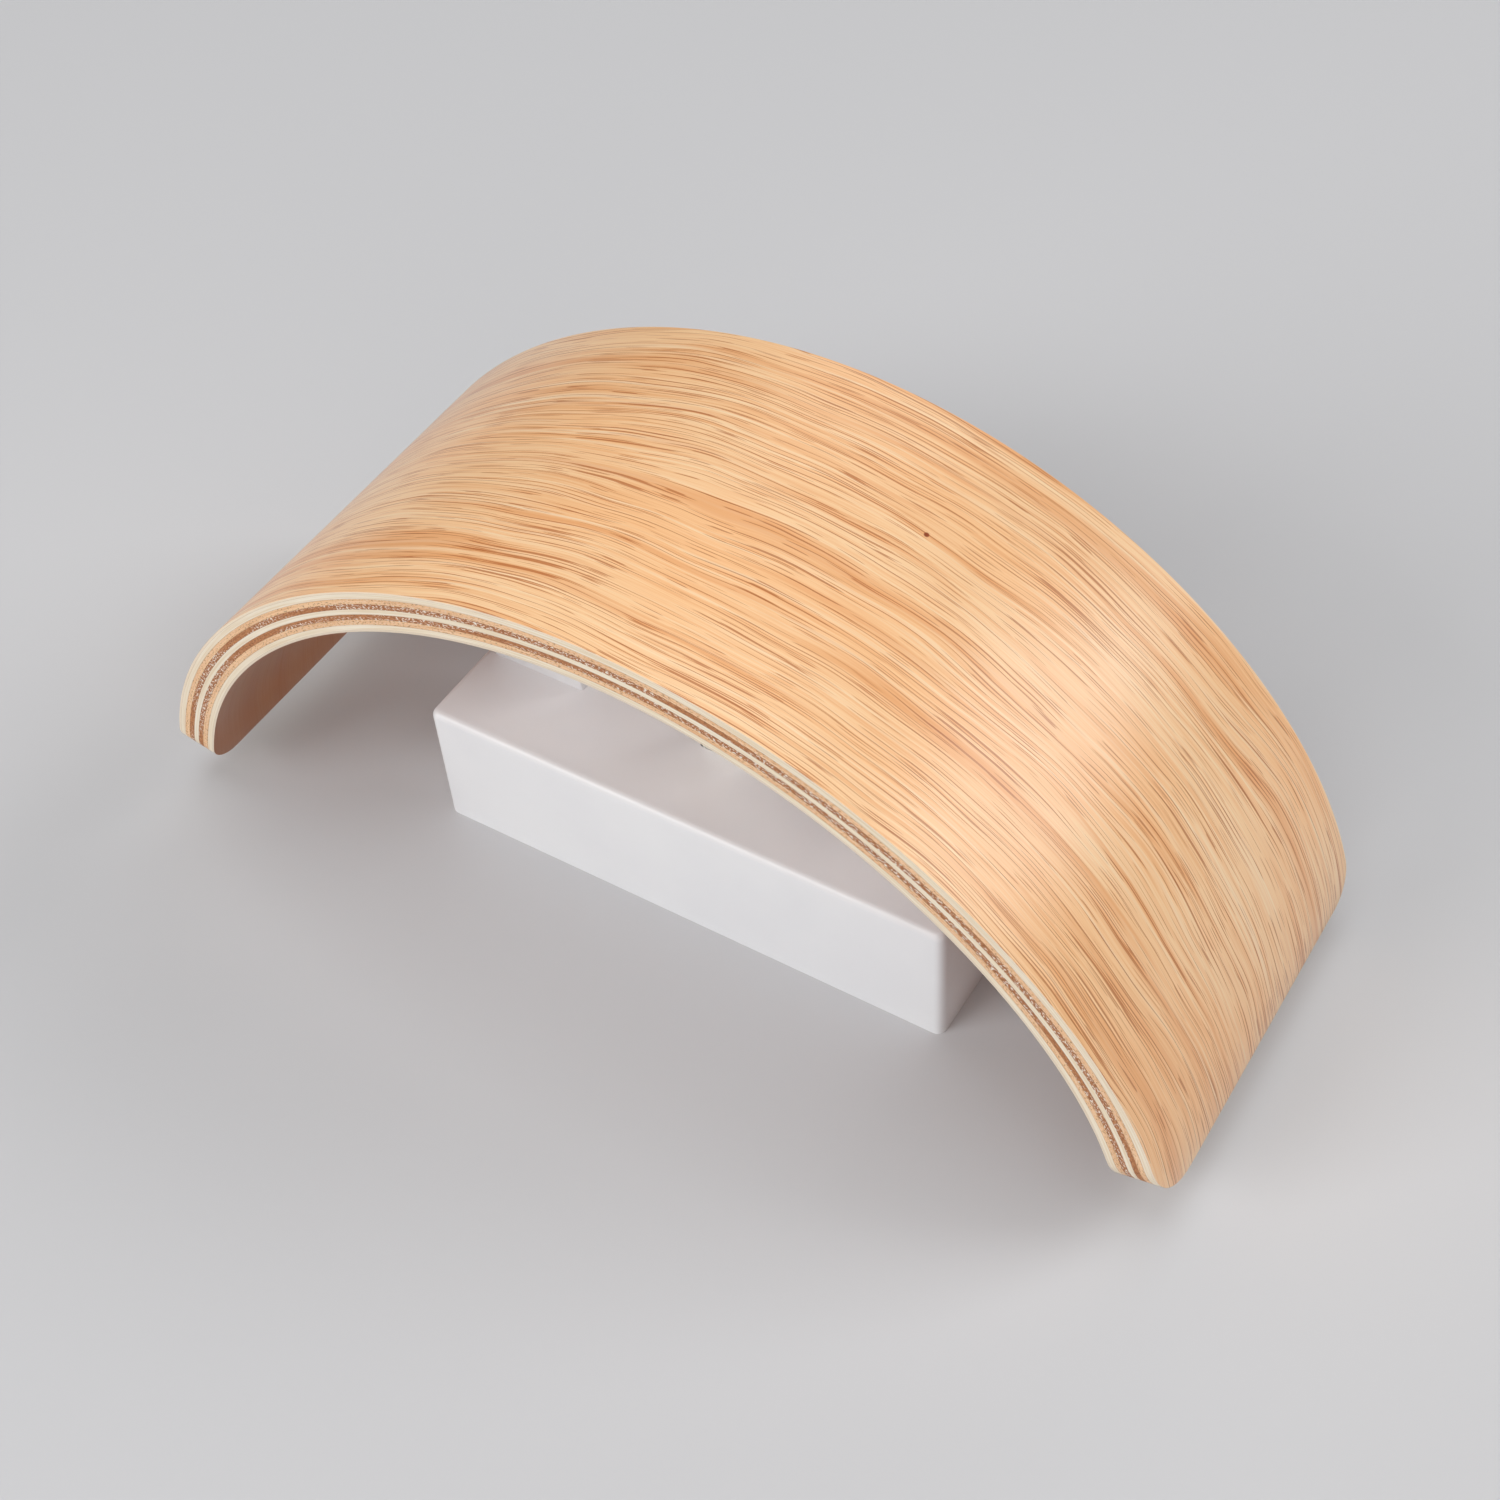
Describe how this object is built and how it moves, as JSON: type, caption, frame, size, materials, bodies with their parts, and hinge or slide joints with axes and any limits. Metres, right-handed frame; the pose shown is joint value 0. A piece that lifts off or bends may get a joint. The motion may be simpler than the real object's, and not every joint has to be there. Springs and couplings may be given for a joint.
{
  "type": "bentwood wall light",
  "caption": "Arched oak-faced plywood shade on two white uprights over a white box that hangs on a wall bracket, with a small plug-in lamp inside.",
  "frame": {"origin": "middle of the wall side: centre of the bounding box in X and Y, at the face that lies on the wall", "axes": "+X along the arch, +Y across its width, +Z away from the wall towards the crown of the arch"},
  "size_m": [0.29, 0.1072, 0.1235],
  "materials": {
    "oak_face": "clear satin lacquer over open-pored oak veneer",
    "birch_ply": "sanded, clear lacquered edge",
    "poplar_ply": "sanded, clear lacquered edge",
    "dark_ply": "sanded end grain, clear lacquered edge",
    "white_paint": "gloss white powder coat",
    "zinc_plate": "bright zinc plate",
    "glazed_holder": "unglazed steatite",
    "opal_cover": "opal, smooth",
    "white_board": "white circuit board",
    "nylon": "moulded, satin",
    "black_rubber": "moulded, matt",
    "brass": "turned, bright",
    "brown_insulation": "smooth insulation",
    "blue_insulation": "smooth insulation",
    "green_insulation": "smooth green insulation with a yellow stripe"
  },
  "bodies": {
    "bracket": {"wall_bracket": "zinc_plate", "cable_grommet": "black_rubber"},
    "light_body": {"outer_oak_veneer": "oak_face", "inner_oak_veneer": "oak_face", "core_ply_1": "birch_ply", "core_ply_2": "poplar_ply", "core_ply_3": "dark_ply", "core_ply_4": "birch_ply", "core_ply_5": "dark_ply", "core_ply_6": "poplar_ply", "core_ply_7": "birch_ply", "box_cover": "white_paint", "left_upright": "white_paint", "right_upright": "white_paint", "left_saddle": "zinc_plate", "right_saddle": "zinc_plate", "inner_strap": "zinc_plate", "left_saddle_screw": "zinc_plate", "right_saddle_screw": "zinc_plate", "left_holder_screw": "zinc_plate", "right_holder_screw": "zinc_plate", "left_holder_nut": "zinc_plate", "right_holder_nut": "zinc_plate", "terminal_block_screw": "zinc_plate", "lamp_holder": "glazed_holder", "terminal_block": "nylon", "terminal_tube_1": "brass", "terminal_tube_2": "brass", "terminal_tube_3": "brass", "earth_stud": "brass", "earth_tag": "brass", "earth_nut": "brass", "live_lead": "brown_insulation", "neutral_lead": "blue_insulation", "earth_lead": "green_insulation", "shade_screw_1": "zinc_plate", "shade_screw_2": "zinc_plate", "shade_screw_3": "zinc_plate", "shade_screw_4": "zinc_plate", "left_foot_screw_1": "zinc_plate", "left_foot_screw_2": "zinc_plate", "right_foot_screw_1": "zinc_plate", "right_foot_screw_2": "zinc_plate"},
    "bulb": {"lamp_base": "glazed_holder", "lamp_capsule": "opal_cover", "lamp_led_strip": "white_board", "lamp_pin_left": "zinc_plate", "lamp_pin_right": "zinc_plate"},
    "left_screw": {"left_locking_screw": "white_paint"},
    "right_screw": {"right_locking_screw": "white_paint"},
    "left_nut": {"left_locking_nut": "zinc_plate"},
    "right_nut": {"right_locking_nut": "zinc_plate"}
  },
  "joints": [
    {"name": "lift_off", "type": "slide", "parent": "bracket", "child": "light_body", "axis": [0, 0, 1], "range_m": [0, 0.06]},
    {"name": "bulb_pull", "type": "slide", "parent": "light_body", "child": "bulb", "axis": [0, 0, 1], "range_m": [0, 0.012]},
    {"name": "left_screw_turn", "type": "hinge", "parent": "light_body", "child": "left_screw", "pos_m": [-0.0752, 0, 0.0055], "axis": [-1, 0, 0], "range_deg": [0, 990]},
    {"name": "left_nut_travel", "type": "slide", "parent": "light_body", "child": "left_nut", "axis": [1, 0, 0], "range_m": [0, 0.00193]},
    {"name": "right_screw_turn", "type": "hinge", "parent": "light_body", "child": "right_screw", "pos_m": [0.0752, 0, 0.0055], "axis": [1, 0, 0], "range_deg": [0, 990]},
    {"name": "right_nut_travel", "type": "slide", "parent": "light_body", "child": "right_nut", "axis": [-1, 0, 0], "range_m": [0, 0.00193]}
  ],
  "couplings": [
    {"joint": "left_screw_turn", "follows": "left_nut_travel", "rad_per_m": 8976},
    {"joint": "right_screw_turn", "follows": "right_nut_travel", "rad_per_m": 8976}
  ]
}
